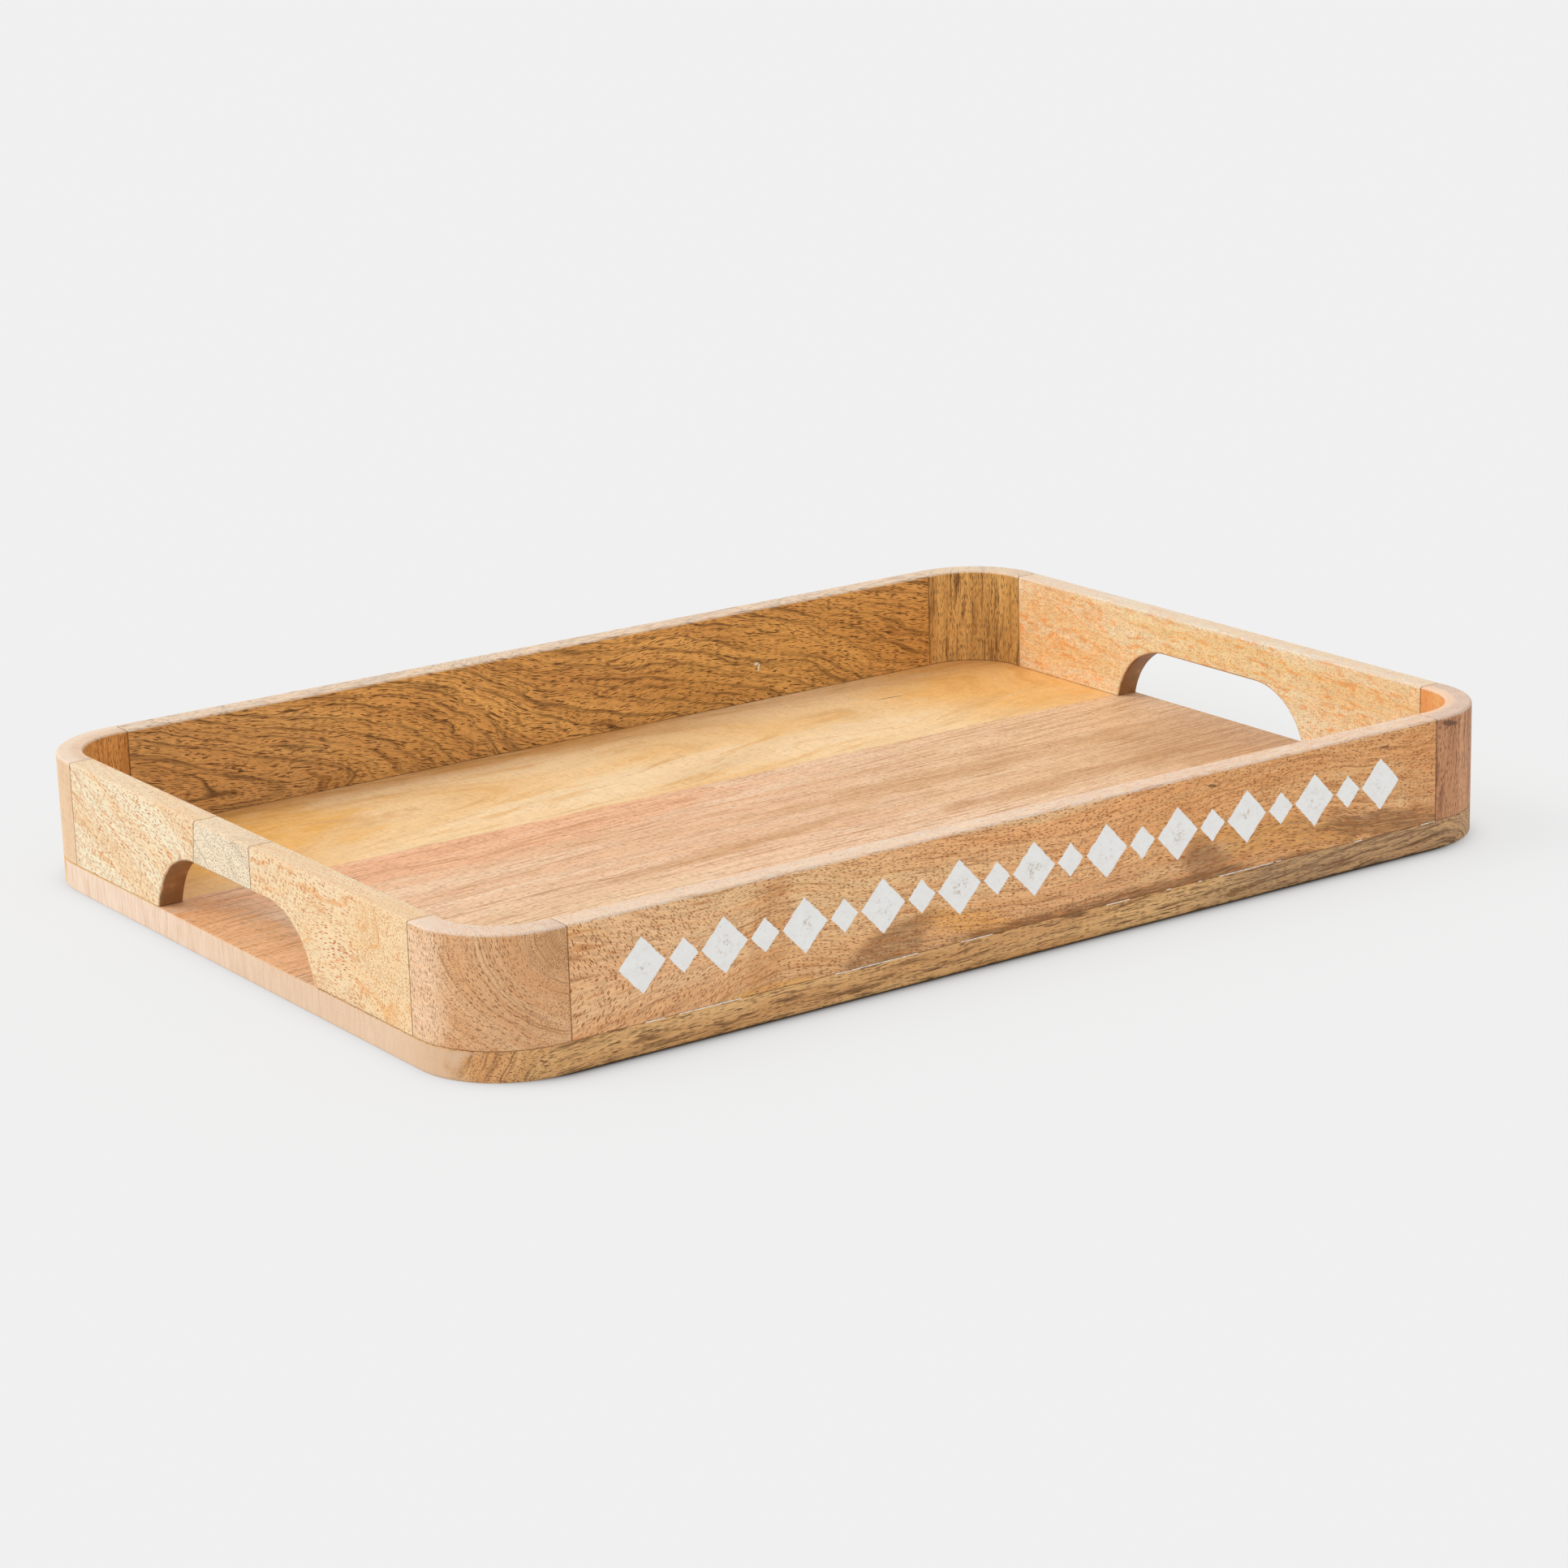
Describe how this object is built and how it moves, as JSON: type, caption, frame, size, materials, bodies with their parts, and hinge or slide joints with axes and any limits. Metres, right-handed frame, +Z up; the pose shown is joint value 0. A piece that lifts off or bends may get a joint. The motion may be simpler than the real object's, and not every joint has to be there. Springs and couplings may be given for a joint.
{
  "type": "serving tray",
  "caption": "Rectangular wooden serving tray with rounded corner blocks, arched handle openings in both ends and rows of white diamond inlays along its long sides.",
  "frame": {"origin": "centre of the underside, on the surface that the tray stands on", "axes": "+X along the length towards the right end wall, +Y towards the back wall, +Z up"},
  "size_m": [0.432, 0.305, 0.048],
  "materials": {
    "floor_back": "golden mango wood, sanded, thin matt oil or wax",
    "floor_middle": "mango wood running from pink to tan, sanded, thin matt oil or wax",
    "floor_front": "olive-brown streaked mango wood, sanded, thin matt oil or wax",
    "front_wall": "orange-brown mango wood with a dark figured band, sanded, thin matt oil or wax",
    "back_wall": "medium brown mango wood with dark figure, sanded, thin matt oil or wax",
    "right_end": "bright orange-yellow curly mango wood, sanded, thin matt oil or wax",
    "left_end": "pale cream-yellow mango wood with brown pore dashes, sanded, thin matt oil or wax",
    "left_end_middle": "pale grey-cream mango wood, sanded, thin matt oil or wax",
    "corner_block": "upright-grained mango wood, sanded, thin matt oil or wax",
    "inlay": "matt white cast resin, sanded flush, with small pits",
    "dowel": "plain hardwood dowel"
  },
  "bodies": {
    "root": {"floor_board_back": "floor_back", "floor_board_middle": "floor_middle", "floor_board_front": "floor_front", "front_wall": "front_wall", "back_wall": "back_wall", "right_end_wall": "right_end", "left_end_board_back": "left_end", "left_end_board_middle": "left_end_middle", "left_end_board_front": "left_end", "corner_block_front_left": "corner_block", "corner_block_front_right": "corner_block", "corner_block_back_left": "corner_block", "corner_block_back_right": "corner_block", "front_inlay_large_1": "inlay", "front_inlay_large_2": "inlay", "front_inlay_large_3": "inlay", "front_inlay_large_4": "inlay", "front_inlay_large_5": "inlay", "front_inlay_large_6": "inlay", "front_inlay_large_7": "inlay", "front_inlay_large_8": "inlay", "front_inlay_large_9": "inlay", "front_inlay_large_10": "inlay", "front_inlay_large_11": "inlay", "back_inlay_large_1": "inlay", "back_inlay_large_2": "inlay", "back_inlay_large_3": "inlay", "back_inlay_large_4": "inlay", "back_inlay_large_5": "inlay", "back_inlay_large_6": "inlay", "back_inlay_large_7": "inlay", "back_inlay_large_8": "inlay", "back_inlay_large_9": "inlay", "back_inlay_large_10": "inlay", "back_inlay_large_11": "inlay", "front_inlay_small_1": "inlay", "front_inlay_small_2": "inlay", "front_inlay_small_3": "inlay", "front_inlay_small_4": "inlay", "front_inlay_small_5": "inlay", "front_inlay_small_6": "inlay", "front_inlay_small_7": "inlay", "front_inlay_small_8": "inlay", "front_inlay_small_9": "inlay", "front_inlay_small_10": "inlay", "back_inlay_small_1": "inlay", "back_inlay_small_2": "inlay", "back_inlay_small_3": "inlay", "back_inlay_small_4": "inlay", "back_inlay_small_5": "inlay", "back_inlay_small_6": "inlay", "back_inlay_small_7": "inlay", "back_inlay_small_8": "inlay", "back_inlay_small_9": "inlay", "back_inlay_small_10": "inlay", "corner_dowels": "dowel", "floor_dowels": "dowel"}
  },
  "joints": []
}
